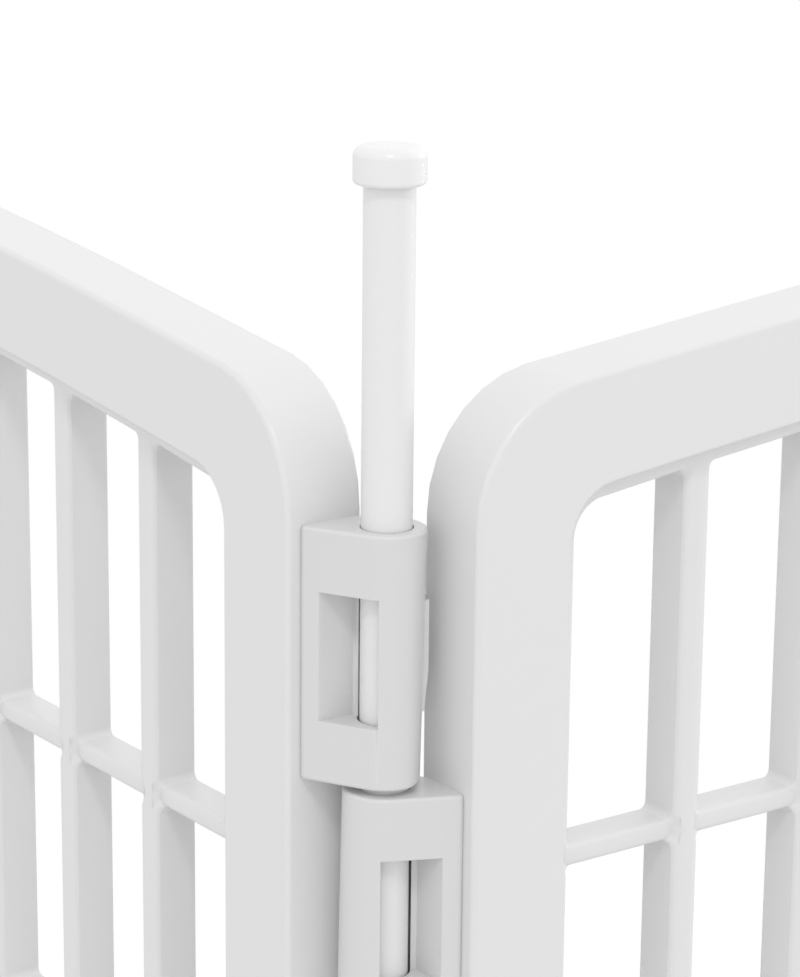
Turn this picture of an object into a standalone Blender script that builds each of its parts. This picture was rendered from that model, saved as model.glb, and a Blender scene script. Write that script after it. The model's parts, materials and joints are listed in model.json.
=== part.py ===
"""Pet playpen: four folding grille panels on lift-out corner rods, with a bolted door."""
import math

import bmesh
import bpy
from mathutils import Matrix, Vector

# ---------------------------------------------------------------- driving dimensions (metres)
SLAT_PITCH = 0.0425        # centre to centre of the upright slats
SLAT_COUNT = 17
FIRST_SLAT = 0.0840        # hinge axis to the first slat's centre
SLAT_WIDTH = 0.0088
SLAT_DEPTH = 0.0120
BAR_HEIGHT = 0.0060
SPAN = 2 * FIRST_SLAT + (SLAT_COUNT - 1) * SLAT_PITCH     # hinge axis to hinge axis

END_GAP = 0.0122           # hinge axis to a panel's end face
FACE_OUT = 0.0203          # hinge axis to a panel's outer face
FACE_IN = 0.0013           # hinge axis to a panel's inner face
RIM = 0.0286               # width of a panel's frame
BAND = 0.0042              # width of the sunk band between the frame and the windows
RECESS = 0.0045            # outer face of the frame to the front of the slats
FOOT_HEIGHT = 0.006
END_HEIGHT = 0.5800        # top of a panel at its ends
ARCH_RADIUS = 2.97
CORNER_RADIUS = 0.0335
INNER_RADIUS = 0.014
BASE_RADIUS = 0.020
SMALL_RADIUS = 0.006
FIRST_BAR_DROP = 0.1195    # end height to the middle of the top crossbar
BAR_ROWS = 5

ROD_RADIUS = 0.00620
ROD_BORE = 0.0045
BORE_RADIUS = 0.0065
BARREL_RADIUS = 0.0094
ARM_REACH = 0.0162         # hinge axis to the outer edge of a knuckle's root
KNUCKLE_DROP = 0.0300      # end height to the top of the uppermost knuckle
KNUCKLE_HEIGHT = 0.0637
KNUCKLE_GAP = 0.0017
WINDOW_MARGIN = 0.0162     # knuckle end to its window
LOW_KNUCKLE_TOP = 0.1720
ROD_LIFT = 0.0819          # how far the first corner's rod is lifted at rest
CAP_RADIUS = 0.0087
CAP_HEIGHT = 0.0090
CAP_SEAT = 0.0004
CAP_SOCKET = 0.0069
CAP_EASE = 0.0012
CAP_ROUND = 0.0024
ROD_BOTTOM = 0.0360
FOOT_LENGTH = 0.034
FOOT_WIDTH = 0.015
FOOT_INSET = 0.095

DOOR_FIRST_SLAT = 4        # the door jambs stand on these two slats
DOOR_LAST_SLAT = 12
JAMB = 0.020
HEAD = 0.020
DOOR_GAP = 0.0025
DOOR_DEPTH = 0.0160
DOOR_RIM = 0.018
PIN_RADIUS = 0.0030
SPLIT = 0.0003             # gap between neighbouring solids
MERGE = 0.000005
OVERLAP = 0.0015           # how far a grille runs into its frame

BOLT_SIZE = (0.046, 0.004, 0.010)
GUIDE_SIZE = (0.016, 0.008, 0.016)
KEEPER_SIZE = (0.012, 0.008, 0.016)
BOLT_HIGH = 0.400
BOLT_LOW = 0.130

WHITE = (0.86, 0.87, 0.88, 1.0)
GREY_RUBBER = (0.23, 0.23, 0.24, 1.0)

PANEL_BASE = FOOT_HEIGHT
TOP_KNUCKLE = END_HEIGHT - KNUCKLE_DROP
BAR_STEP = (END_HEIGHT - FIRST_BAR_DROP - PANEL_BASE - RIM) / BAR_ROWS
MID_Y = -(FACE_OUT - FACE_IN) / 2

scene = bpy.context.scene
for old in list(scene.objects):
    bpy.data.objects.remove(old, do_unlink=True)


# ---------------------------------------------------------------- small tools
def material(name, colour, roughness, metallic=0.0):
    """A material of one colour."""
    made = bpy.data.materials.new(name)
    made.use_nodes = True
    shader = made.node_tree.nodes["Principled BSDF"]
    shader.inputs["Base Color"].default_value = colour
    shader.inputs["Roughness"].default_value = roughness
    shader.inputs["Metallic"].default_value = metallic
    made.diffuse_color = colour
    return made


def mesh_object(name, bm):
    """A new object that owns what is in bm."""
    bmesh.ops.recalc_face_normals(bm, faces=bm.faces)
    mesh = bpy.data.meshes.new(name)
    bm.to_mesh(mesh)
    bm.free()
    made = bpy.data.objects.new(name, mesh)
    scene.collection.objects.link(made)
    return made


def add_box(bm, low, high):
    """A box from its lowest to its highest corner."""
    centre = (Vector(low) + Vector(high)) / 2
    size = Vector(high) - Vector(low)
    place = Matrix.Translation(centre) @ Matrix.Diagonal((*size, 1.0))
    bmesh.ops.create_cube(bm, size=1.0, matrix=place)


def add_prism(bm, outline, low, high, upright=True):
    """An outline of (x, z) points pushed along Y, or of (x, y) points pushed along Z."""
    rings = []
    for level in (low, high):
        if upright:
            ring = [bm.verts.new((x, y, level)) for x, y in outline]
        else:
            ring = [bm.verts.new((x, level, z)) for x, z in outline]
        rings.append(ring)
    count = len(outline)
    bm.faces.new(rings[0])
    bm.faces.new(rings[1])
    for i in range(count):
        j = (i + 1) % count
        bm.faces.new((rings[0][i], rings[0][j], rings[1][j], rings[1][i]))


def arc(cx, cy, radius, start, end, steps):
    """Points along an arc; the angles are in degrees."""
    points = []
    for i in range(steps + 1):
        angle = math.radians(start + (end - start) * i / steps)
        points.append((cx + radius * math.cos(angle), cy + radius * math.sin(angle)))
    return points


def add_round(bm, x, y, profile, segments=32):
    """A solid of revolution about the upright line through (x, y), from (radius, z) points.

    The profile is a closed loop, so a tube has four points and a plug starts and ends on the axis.
    """
    rings = []
    for radius, z in profile:
        if radius < 1e-6:
            rings.append([bm.verts.new((x, y, z))])
            continue
        ring = []
        for i in range(segments):
            angle = 2 * math.pi * i / segments
            ring.append(bm.verts.new((x + radius * math.cos(angle), y + radius * math.sin(angle), z)))
        rings.append(ring)
    for first, second in zip(rings, rings[1:] + rings[:1]):
        if len(first) == 1 and len(second) == 1:
            continue
        for i in range(segments):
            j = (i + 1) % segments
            if len(first) == 1:
                bm.faces.new((first[0], second[i], second[j]))
            elif len(second) == 1:
                bm.faces.new((first[i], first[j], second[0]))
            else:
                bm.faces.new((first[i], first[j], second[j], second[i]))


def boolean(target, tool, operation):
    """Apply one exact boolean and remove the tool."""
    modifier = target.modifiers.new(operation, "BOOLEAN")
    modifier.operation = operation
    modifier.solver = "EXACT"
    modifier.object = tool
    graph = bpy.context.evaluated_depsgraph_get()
    mesh = bpy.data.meshes.new_from_object(target.evaluated_get(graph))
    target.modifiers.clear()
    bm = bmesh.new()
    bm.from_mesh(mesh)
    bmesh.ops.remove_doubles(bm, verts=bm.verts, dist=MERGE)
    bmesh.ops.dissolve_degenerate(bm, edges=bm.edges, dist=MERGE)
    bm.to_mesh(mesh)
    bm.free()
    target.data = mesh
    bpy.data.objects.remove(tool, do_unlink=True)


def cut(target, build):
    """Cut away what build(bm) makes."""
    bm = bmesh.new()
    build(bm)
    boolean(target, mesh_object("cutter", bm), "DIFFERENCE")


def join(target, build):
    """Join on what build(bm) makes."""
    bm = bmesh.new()
    build(bm)
    boolean(target, mesh_object("addition", bm), "UNION")


def finish(obj, name, mat, matrix, parent=None, smooth_angle=None):
    """Name a piece, give it its material and put it in place."""
    obj.name = name
    obj.data.name = name
    obj.data.materials.clear()
    obj.data.materials.append(mat)
    if parent is not None:
        obj.parent = parent
    obj.matrix_world = matrix
    if smooth_angle is not None:
        obj.data.shade_smooth()
        obj.data.set_sharp_from_angle(angle=math.radians(smooth_angle))
    return obj


# ---------------------------------------------------------------- a panel, in its own frame
# x runs from the panel's left hinge axis to its right one, as seen from outside; -y is outside.
def top_height(x):
    """Height of a panel's arched top at x."""
    half = SPAN / 2 - END_GAP
    crown = END_HEIGHT - ARCH_RADIUS + math.sqrt(ARCH_RADIUS ** 2 - (x - SPAN / 2) ** 2)
    return crown + ARCH_RADIUS - math.sqrt(ARCH_RADIUS ** 2 - half ** 2)


def arched_outline(left, right, bottom, inset, radius, bottom_radius, steps=6):
    """An outline in (x, z) whose top follows the panel's arch, inset below it."""
    lean_left = math.degrees(math.asin((SPAN / 2 - left - radius) / ARCH_RADIUS))
    lean_right = math.degrees(math.asin((SPAN / 2 - right + radius) / ARCH_RADIUS))
    rise_left = top_height(left + radius) - inset - radius * math.cos(math.radians(lean_left))
    rise_right = top_height(right - radius) - inset - radius * math.cos(math.radians(lean_right))
    points = arc(left + bottom_radius, bottom + bottom_radius, bottom_radius, 270, 180, steps)
    points += arc(left + radius, rise_left, radius, 180, 90 + lean_left, steps)
    spans = max(3, round((right - left) / 0.07))
    for i in range(1, spans):
        x = left + radius + (right - left - 2 * radius) * i / spans
        points.append((x, top_height(x) - inset))
    points += arc(right - radius, rise_right, radius, 90 + lean_right, 0, steps)
    points += arc(right - bottom_radius, bottom + bottom_radius, bottom_radius, 360, 270, steps)
    return points


def slat_x(index):
    """Centre of an upright slat."""
    return FIRST_SLAT + index * SLAT_PITCH


def bar_z(index):
    """Middle of a crossbar, counted from the top."""
    return END_HEIGHT - FIRST_BAR_DROP - index * BAR_STEP


def knuckle_plan(sign, hinge_x):
    """Plan points of a knuckle."""
    outer = (END_GAP + 0.004, -ARM_REACH)
    inner = (END_GAP + 0.004, FACE_IN - 0.002)
    lean = math.degrees(math.asin(BARREL_RADIUS / math.hypot(END_GAP, ARM_REACH)))
    towards = math.degrees(math.atan2(-ARM_REACH, END_GAP))
    first = towards - (90 - lean)
    inner_at = math.degrees(math.atan2(FACE_IN - 0.002, END_GAP))
    last = inner_at + math.degrees(math.acos(BARREL_RADIUS / math.hypot(END_GAP, FACE_IN - 0.002)))
    around = arc(0, 0, BARREL_RADIUS, first, last - 360, 20)
    points = [inner, outer, (END_GAP, -ARM_REACH)] + around + [(END_GAP, FACE_IN - 0.002)]
    return [(hinge_x + sign * x, y) for x, y in points]


def knuckle_tops(upper):
    """Tops of the two knuckles that one end of a panel carries."""
    drop = 0 if upper else KNUCKLE_HEIGHT + KNUCKLE_GAP
    return [TOP_KNUCKLE - drop, LOW_KNUCKLE_TOP - drop]


def add_window(bm, sign, hinge_x, top):
    """The pocket that opens a knuckle's outer face onto the rod."""
    low = top - KNUCKLE_HEIGHT + WINDOW_MARGIN
    high = top - WINDOW_MARGIN
    outline = [(0.0084, -0.0190), (0.0078, -0.0040), (0.0010, -0.0020)]
    outline += [(-0.0052, -0.0020), (-0.0068, -0.0190)]
    add_prism(bm, [(hinge_x + sign * x, y) for x, y in outline], low, high)


def round_cutter(bm, hinge_x, radius, low, high, segments):
    """A plain upright cylinder on a hinge axis."""
    add_round(bm, hinge_x, 0.0, [(0.0, high), (radius, high), (radius, low), (0.0, low)], segments)


def add_knuckles(ring):
    """Join both ends' knuckles onto a panel's frame and cut their bores and windows."""
    for sign, hinge_x, upper in ((1, 0.0, False), (-1, SPAN, True)):
        plan = knuckle_plan(sign, hinge_x)
        for top in knuckle_tops(upper):
            low = top - KNUCKLE_HEIGHT
            join(ring, lambda bm: add_prism(bm, plan, low, top))
            cut(ring, lambda bm: round_cutter(bm, hinge_x, BORE_RADIUS, low - 0.01, top + 0.01, 32))
            cut(ring, lambda bm: add_window(bm, sign, hinge_x, top))


def window_columns():
    """Left and right edges of each column of windows; the outer ones run into the frame."""
    edges = [END_GAP + RIM - 0.002]
    for i in range(SLAT_COUNT):
        edges += [slat_x(i) - SLAT_WIDTH / 2, slat_x(i) + SLAT_WIDTH / 2]
    edges.append(SPAN - END_GAP - RIM + 0.002)
    return list(zip(edges[0::2], edges[1::2]))


def window_rows():
    """Lower and upper edges of each row of windows; the outer ones run into the frame."""
    levels = [0.75]
    for i in range(BAR_ROWS):
        levels += [bar_z(i) + BAR_HEIGHT / 2, bar_z(i) - BAR_HEIGHT / 2]
    levels.append(PANEL_BASE + RIM - 0.002)
    return list(zip(levels[1::2], levels[0::2]))


def panel_mesh(sections, doorway=None):
    """A panel: its slab cut by each (left, right, bottom, radius) section, each filled with a grille."""
    bm = bmesh.new()
    outline = arched_outline(END_GAP, SPAN - END_GAP, PANEL_BASE, 0.0, CORNER_RADIUS, BASE_RADIUS)
    add_prism(bm, outline, -FACE_OUT, FACE_IN, upright=False)
    slab = mesh_object("slab", bm)

    def openings(bm):
        for left, right, bottom, radius in sections:
            hole = arched_outline(left, right, bottom, RIM, radius, radius, 4)
            add_prism(bm, hole, -0.1, 0.1, upright=False)
        if doorway:
            low_x, high_x, low_z, high_z = doorway
            add_box(bm, (low_x, -0.1, low_z), (high_x, 0.1, high_z))

    cut(slab, openings)
    add_knuckles(slab)

    front = -FACE_OUT + RECESS
    back = front + SLAT_DEPTH

    def plates(bm):
        for left, right, bottom, radius in sections:
            edge = (left - OVERLAP, right + OVERLAP, bottom - OVERLAP, RIM - OVERLAP)
            add_prism(bm, arched_outline(*edge, radius, radius, 4), front, back, upright=False)

    def windows(bm):
        for low_x, high_x in window_columns():
            for low_z, high_z in window_rows():
                add_box(bm, (low_x, front - 0.01, low_z), (high_x, back + 0.01, high_z))

    bm = bmesh.new()
    plates(bm)
    grille = mesh_object("grille", bm)

    bm = bmesh.new()
    windows(bm)
    holes = mesh_object("holes", bm)
    sides = (END_GAP + RIM + BAND, SPAN - END_GAP - RIM - BAND)
    radius = INNER_RADIUS - BAND
    bm = bmesh.new()
    field = arched_outline(*sides, PANEL_BASE + RIM + BAND, RIM + BAND, radius, radius, 4)
    add_prism(bm, field, front - 0.02, back + 0.02, upright=False)
    boolean(holes, mesh_object("field", bm), "INTERSECT")
    boolean(grille, holes, "DIFFERENCE")
    boolean(slab, grille, "UNION")
    return slab


# ---------------------------------------------------------------- the doorway and the door
DOOR_LEFT = slat_x(DOOR_FIRST_SLAT) + JAMB / 2
DOOR_RIGHT = slat_x(DOOR_LAST_SLAT) - JAMB / 2
DOOR_BOTTOM = PANEL_BASE + RIM
DOOR_TOP = bar_z(0) - HEAD / 2
LEAF_LEFT = DOOR_LEFT + DOOR_GAP
LEAF_RIGHT = DOOR_RIGHT - DOOR_GAP
LEAF_BOTTOM = DOOR_BOTTOM + DOOR_GAP
LEAF_TOP = DOOR_TOP - DOOR_GAP
PIN_X = LEAF_LEFT + DOOR_DEPTH / 2
PIN_Y = -FACE_OUT + DOOR_DEPTH / 2
PIN_REACH = 0.010


def cut_pin_hole(target, radius, low, high):
    """An upright hole on the door's pivot axis."""
    profile = [(0.0, high), (radius, high), (radius, low), (0.0, low)]
    cut(target, lambda bm: add_round(bm, PIN_X, PIN_Y, profile, 24))


def door_panel_pieces():
    """The front panel as four nodes around its doorway."""
    sections = [
        (END_GAP + RIM, DOOR_LEFT - JAMB, PANEL_BASE + RIM, INNER_RADIUS),
        (DOOR_LEFT, DOOR_RIGHT, DOOR_TOP + HEAD, SMALL_RADIUS),
        (DOOR_RIGHT + JAMB, SPAN - END_GAP - RIM, PANEL_BASE + RIM, INNER_RADIUS),
    ]
    whole = panel_mesh(sections, (DOOR_LEFT, DOOR_RIGHT, DOOR_BOTTOM, DOOR_TOP))
    cut_pin_hole(whole, PIN_RADIUS + 0.0001, DOOR_TOP - 0.01, DOOR_TOP + PIN_REACH + 0.0005)
    cut_pin_hole(whole, PIN_RADIUS + 0.0001, DOOR_BOTTOM - PIN_REACH - 0.0005, DOOR_BOTTOM + 0.01)
    shares = {
        "front_panel_left": ((-0.1, 0.0), (DOOR_LEFT, 1.0)),
        "front_panel_right": ((DOOR_RIGHT, 0.0), (SPAN + 0.1, 1.0)),
        "front_panel_head": ((DOOR_LEFT + SPLIT, DOOR_TOP - 0.01), (DOOR_RIGHT - SPLIT, 1.0)),
        "front_panel_sill": ((DOOR_LEFT + SPLIT, 0.0), (DOOR_RIGHT - SPLIT, DOOR_BOTTOM + 0.01)),
    }
    pieces = {}
    for name, (low, high) in shares.items():
        piece = whole.copy()
        piece.data = whole.data.copy()
        scene.collection.objects.link(piece)
        bm = bmesh.new()
        add_box(bm, (low[0], -0.1, low[1]), (high[0], 0.1, high[1]))
        boolean(piece, mesh_object("share", bm), "INTERSECT")
        pieces[name] = piece
    bpy.data.objects.remove(whole, do_unlink=True)
    return pieces


def door_leaf():
    """The door: a frame with slats and crossbars that line up with the panel's."""
    front = -FACE_OUT
    back = front + DOOR_DEPTH
    half = DOOR_DEPTH / 2
    plan = arc(PIN_X, PIN_Y, half, 270, 90, 12)
    plan += [(LEAF_RIGHT, back), (LEAF_RIGHT, front)]
    bm = bmesh.new()
    add_prism(bm, plan, LEAF_BOTTOM, LEAF_TOP)
    leaf = mesh_object("leaf", bm)
    edges = [LEAF_LEFT + DOOR_RIM]
    for i in range(DOOR_FIRST_SLAT + 1, DOOR_LAST_SLAT):
        edges += [slat_x(i) - SLAT_WIDTH / 2, slat_x(i) + SLAT_WIDTH / 2]
    edges.append(LEAF_RIGHT - DOOR_RIM)
    levels = [LEAF_TOP - DOOR_RIM]
    for i in range(1, BAR_ROWS):
        levels += [bar_z(i) + BAR_HEIGHT / 2, bar_z(i) - BAR_HEIGHT / 2]
    levels.append(LEAF_BOTTOM + DOOR_RIM)

    def windows(bm):
        for low_x, high_x in zip(edges[0::2], edges[1::2]):
            for low_z, high_z in zip(levels[1::2], levels[0::2]):
                add_box(bm, (low_x, -0.1, low_z), (high_x, 0.1, high_z))

    cut(leaf, windows)
    hole = PIN_RADIUS + 0.00005
    cut_pin_hole(leaf, hole, LEAF_TOP - PIN_REACH - 0.0005, LEAF_TOP + 0.01)
    cut_pin_hole(leaf, hole, LEAF_BOTTOM - 0.01, LEAF_BOTTOM + PIN_REACH + 0.0005)
    return leaf


def door_pin(level, gap_low, gap_high):
    """A pivot pin that reaches from the leaf into the panel."""
    profile = [(0.0, gap_high + PIN_REACH), (PIN_RADIUS, gap_high + PIN_REACH)]
    profile += [(PIN_RADIUS, gap_low - PIN_REACH), (0.0, gap_low - PIN_REACH)]
    bm = bmesh.new()
    add_round(bm, PIN_X, PIN_Y, profile, 24)
    return mesh_object(level, bm)


def block_with_channel(low_x, high_x, z, height, depth):
    """A bolt guide or keeper: a block on the outer face with a channel for the bolt."""
    outer = -FACE_OUT - SPLIT - depth
    bm = bmesh.new()
    add_box(bm, (low_x, outer, z - height / 2), (high_x, -FACE_OUT - SPLIT, z + height / 2))
    block = mesh_object("block", bm)
    low_y = BOLT_Y - BOLT_SIZE[1] / 2 - SPLIT
    high_y = BOLT_Y + BOLT_SIZE[1] / 2 + SPLIT
    half = BOLT_SIZE[2] / 2 + SPLIT
    cut(block, lambda bm: add_box(bm, (low_x - 0.01, low_y, z - half), (high_x + 0.01, high_y, z + half)))
    return block


BOLT_Y = -FACE_OUT - SPLIT - GUIDE_SIZE[1] / 2
BOLT_RIGHT = LEAF_RIGHT - 0.004
GUIDE_LEFT = LEAF_RIGHT - 0.004 - GUIDE_SIZE[0]
KEEPER_LEFT = DOOR_RIGHT + 0.004
KNOB_X = BOLT_RIGHT - BOLT_SIZE[0] + 0.007
KNOB_RADIUS = 0.0055
KNOB_HEIGHT = 0.009


def bolt_bar(z):
    """The sliding bar of a door bolt, drawn back."""
    bm = bmesh.new()
    half_y = BOLT_SIZE[1] / 2
    half_z = BOLT_SIZE[2] / 2
    low = (BOLT_RIGHT - BOLT_SIZE[0], BOLT_Y - half_y, z - half_z)
    add_box(bm, low, (BOLT_RIGHT, BOLT_Y + half_y, z + half_z))
    return mesh_object("bar", bm)


def bolt_knob(z):
    """The round thumb knob on a bolt's outer face."""
    bm = bmesh.new()
    profile = [(0.0, 0.0), (KNOB_RADIUS * 0.8, 0.0), (KNOB_RADIUS, KNOB_HEIGHT * 0.5)]
    profile += [(KNOB_RADIUS, KNOB_HEIGHT * 0.85), (KNOB_RADIUS * 0.8, KNOB_HEIGHT), (0.0, KNOB_HEIGHT)]
    add_round(bm, 0.0, 0.0, profile, 24)
    foot = BOLT_Y - BOLT_SIZE[1] / 2 - SPLIT
    place = Matrix.Translation((KNOB_X, foot, z)) @ Matrix.Rotation(math.pi / 2, 4, "X")
    bmesh.ops.transform(bm, matrix=place, verts=bm.verts)
    return mesh_object("knob", bm)


# ---------------------------------------------------------------- rods, caps and feet
def rod_mesh():
    """A connecting rod, seated: an open tube."""
    top = TOP_KNUCKLE + CAP_SEAT + CAP_SOCKET - SPLIT
    profile = [(ROD_RADIUS, top), (ROD_RADIUS, ROD_BOTTOM + 0.001), (ROD_RADIUS - 0.001, ROD_BOTTOM)]
    profile += [(ROD_BORE, ROD_BOTTOM), (ROD_BORE, top)]
    bm = bmesh.new()
    add_round(bm, 0.0, 0.0, profile, 40)
    return mesh_object("rod", bm)


def cap_mesh():
    """A rod's push-on cap, seated: a rounded button with a socket for the rod."""
    low = TOP_KNUCKLE + CAP_SEAT
    high = low + CAP_HEIGHT
    socket = ROD_RADIUS + SPLIT
    profile = [(0.0, low + CAP_SOCKET), (socket, low + CAP_SOCKET), (socket, low)]
    profile += [(CAP_RADIUS - CAP_EASE, low), (CAP_RADIUS, low + CAP_EASE)]
    profile += arc(CAP_RADIUS - CAP_ROUND, high - CAP_ROUND, CAP_ROUND, 0, 90, 4)
    profile += [(0.0, high)]
    bm = bmesh.new()
    add_round(bm, 0.0, 0.0, profile, 40)
    return mesh_object("cap", bm)


def foot_mesh(x):
    """A rubber foot under a panel's bottom rail."""
    half = FOOT_LENGTH / 2 - FOOT_WIDTH / 2
    plan = arc(x + half, MID_Y, FOOT_WIDTH / 2, -90, 90, 8)
    plan += arc(x - half, MID_Y, FOOT_WIDTH / 2, 90, 270, 8)
    bm = bmesh.new()
    add_prism(bm, plan, 0.0, FOOT_HEIGHT - SPLIT)
    return mesh_object("foot", bm)


# ---------------------------------------------------------------- the assembly
CENTRE_Y = (KNOB_HEIGHT + SPLIT + BOLT_SIZE[1] / 2 - BOLT_Y - FACE_OUT) / 2
CORNERS = {
    1: (SPAN / 2, -SPAN / 2 + CENTRE_Y, 0.0),
    2: (SPAN / 2, SPAN / 2 + CENTRE_Y, 0.0),
    3: (-SPAN / 2, SPAN / 2 + CENTRE_Y, 0.0),
    4: (-SPAN / 2, -SPAN / 2 + CENTRE_Y, 0.0),
}
SIDES = {"front": (4, 0), "right": (1, 90), "back": (2, 180), "left": (3, 270)}
HINGES = {"front": 4, "right": 1, "back": 2, "left": 4}


def side_matrix(side):
    """From a panel's own frame to the world."""
    corner, turn = SIDES[side]
    return Matrix.Translation(CORNERS[corner]) @ Matrix.Rotation(math.radians(turn), 4, "Z")


def empty(name, place):
    """An empty at a joint."""
    made = bpy.data.objects.new(name, None)
    scene.collection.objects.link(made)
    made.matrix_world = place
    return made


def main():
    """Build the playpen."""
    plastic = material("white_plastic", WHITE, 0.42)
    rod_plastic = material("rod_plastic", (0.90, 0.905, 0.91, 1.0), 0.36)
    cap_plastic = material("cap_plastic", (0.88, 0.89, 0.90, 1.0), 0.30)
    rubber = material("foot_rubber", GREY_RUBBER, 0.75)
    joints = {}
    for side, corner in HINGES.items():
        joints[side] = empty(side + "_hinge", Matrix.Translation(CORNERS[corner]))
    bpy.context.view_layer.update()

    for name, piece in door_panel_pieces().items():
        finish(piece, name, plastic, side_matrix("front"), joints["front"])
    pattern = panel_mesh([(END_GAP + RIM, SPAN - END_GAP - RIM, PANEL_BASE + RIM, INNER_RADIUS)])
    for side in ("right", "back", "left"):
        piece = pattern.copy()
        piece.data = pattern.data.copy()
        scene.collection.objects.link(piece)
        finish(piece, side + "_panel", plastic, side_matrix(side), joints[side])
    bpy.data.objects.remove(pattern, do_unlink=True)

    for side in SIDES:
        for place, x in (("a", FOOT_INSET), ("b", SPAN - FOOT_INSET)):
            finish(foot_mesh(x), side + "_foot_" + place, rubber, side_matrix(side), joints[side], 40)

    for corner, spot in CORNERS.items():
        lift = ROD_LIFT if corner == 1 else 0.0
        place = Matrix.Translation(Vector(spot) + Vector((0.0, 0.0, lift)))
        finish(rod_mesh(), "rod_%d" % corner, rod_plastic, place, None, 40)
        finish(cap_mesh(), "cap_%d" % corner, cap_plastic, place, None, 40)

    front = side_matrix("front")
    pivot = empty("door_hinge", front @ Matrix.Translation((PIN_X, PIN_Y, 0.0)))
    bpy.context.view_layer.update()
    finish(door_leaf(), "door_leaf", plastic, front, pivot, 40)
    finish(door_pin("pin", LEAF_TOP, DOOR_TOP), "door_pin_upper", rod_plastic, front, pivot, 40)
    finish(door_pin("pin", DOOR_BOTTOM, LEAF_BOTTOM), "door_pin_lower", rod_plastic, front, pivot, 40)
    for level, z in (("upper", BOLT_HIGH), ("lower", BOLT_LOW)):
        guide_right = GUIDE_LEFT + GUIDE_SIZE[0]
        guide = block_with_channel(GUIDE_LEFT, guide_right, z, GUIDE_SIZE[2], GUIDE_SIZE[1])
        finish(guide, "bolt_guide_" + level, plastic, front, pivot)
        keeper_right = KEEPER_LEFT + KEEPER_SIZE[0]
        keeper = block_with_channel(KEEPER_LEFT, keeper_right, z, KEEPER_SIZE[2], KEEPER_SIZE[1])
        finish(keeper, "bolt_keeper_" + level, plastic, front, joints["front"])
        finish(bolt_bar(z), "bolt_bar_" + level, cap_plastic, front, pivot)
        finish(bolt_knob(z), "bolt_knob_" + level, cap_plastic, front, pivot, 40)


main()
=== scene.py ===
import json
import math

import bmesh
import bpy
from mathutils import Matrix, Vector


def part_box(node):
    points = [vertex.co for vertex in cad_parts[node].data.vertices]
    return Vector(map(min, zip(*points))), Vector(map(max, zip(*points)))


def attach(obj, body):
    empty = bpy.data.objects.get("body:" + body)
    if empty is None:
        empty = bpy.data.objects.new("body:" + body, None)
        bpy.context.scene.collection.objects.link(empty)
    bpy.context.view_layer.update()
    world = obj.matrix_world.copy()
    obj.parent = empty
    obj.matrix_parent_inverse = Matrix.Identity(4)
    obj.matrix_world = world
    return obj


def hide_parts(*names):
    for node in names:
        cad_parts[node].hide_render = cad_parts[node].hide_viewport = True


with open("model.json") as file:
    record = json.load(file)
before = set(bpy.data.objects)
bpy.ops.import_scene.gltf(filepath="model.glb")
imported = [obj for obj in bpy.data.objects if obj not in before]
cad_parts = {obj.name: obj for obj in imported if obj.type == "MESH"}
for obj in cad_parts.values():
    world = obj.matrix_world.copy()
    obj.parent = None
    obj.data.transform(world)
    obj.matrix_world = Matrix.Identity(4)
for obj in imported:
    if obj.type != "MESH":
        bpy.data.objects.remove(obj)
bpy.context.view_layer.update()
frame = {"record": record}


# ---------------------------------------------------------------- sizes, from the frame
def joint_named(name):
    """A joint's entry in the record."""
    return next(j for j in frame["record"]["behaviour"]["joints"] if j["name"] == name)


# the hinge axes: 1 and 2 at the right panel's ends, 4 and 3 at the left panel's
CORNER = {number: joint_named("fold_%d" % number)["pos_m"] for number in (1, 2, 4)}
CORNER[3] = (CORNER[4][0], CORNER[2][1], 0.0)
SPAN = CORNER[1][0] - CORNER[4][0]
PANEL_LOW, PANEL_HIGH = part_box("right_panel")
FACE_OUT = PANEL_HIGH[0] - CORNER[1][0]
BARREL = CORNER[1][1] - PANEL_LOW[1]
PANEL_BASE = PANEL_LOW[2]
DOOR_LOW, DOOR_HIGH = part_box("door_leaf")
SEATED_CAP_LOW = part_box("cap_2")[0][2]

# shapes that the CAD gives the panels, in metres
END_GAP = 0.0122            # hinge axis to a panel's end face
FACE_IN = 0.0013            # hinge axis to a panel's inner face
RIM = 0.0286                # width of the frame
RECESS = 0.0045             # the slats' fronts lie this far behind the frame's
CORNER_RADIUS = 0.0335
BASE_RADIUS = 0.020
INNER_RADIUS = 0.014
ARCH_RADIUS = 2.97
SLAT_PITCH = 0.0425
FIRST_SLAT = 0.0840
SLAT_COUNT = 17
KNUCKLE_HEIGHT = 0.0637
KNUCKLE_GAP = 0.0017
KNUCKLE_DROP = 0.0300       # top of a panel's end to the top of its highest knuckle
CAP_SEAT = 0.0004           # air under a seated cap
ARM_REACH = 0.0162          # hinge axis to the outer edge of a knuckle's root
BORE_RADIUS = 0.0065
LOW_KNUCKLE_TOP = 0.1720
TOP_KNUCKLE = SEATED_CAP_LOW - CAP_SEAT
END_HEIGHT = TOP_KNUCKLE + KNUCKLE_DROP
FIRST_BAR_DROP = 0.1195     # top of a panel's end to the middle of the top crossbar
BAR_ROWS = 5
BAR_STEP = (END_HEIGHT - FIRST_BAR_DROP - PANEL_BASE - RIM) / BAR_ROWS
DOOR_FIRST_SLAT = 4         # the jambs stand on these two slats
DOOR_LAST_SLAT = 12
JAMB = 0.020

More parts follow.
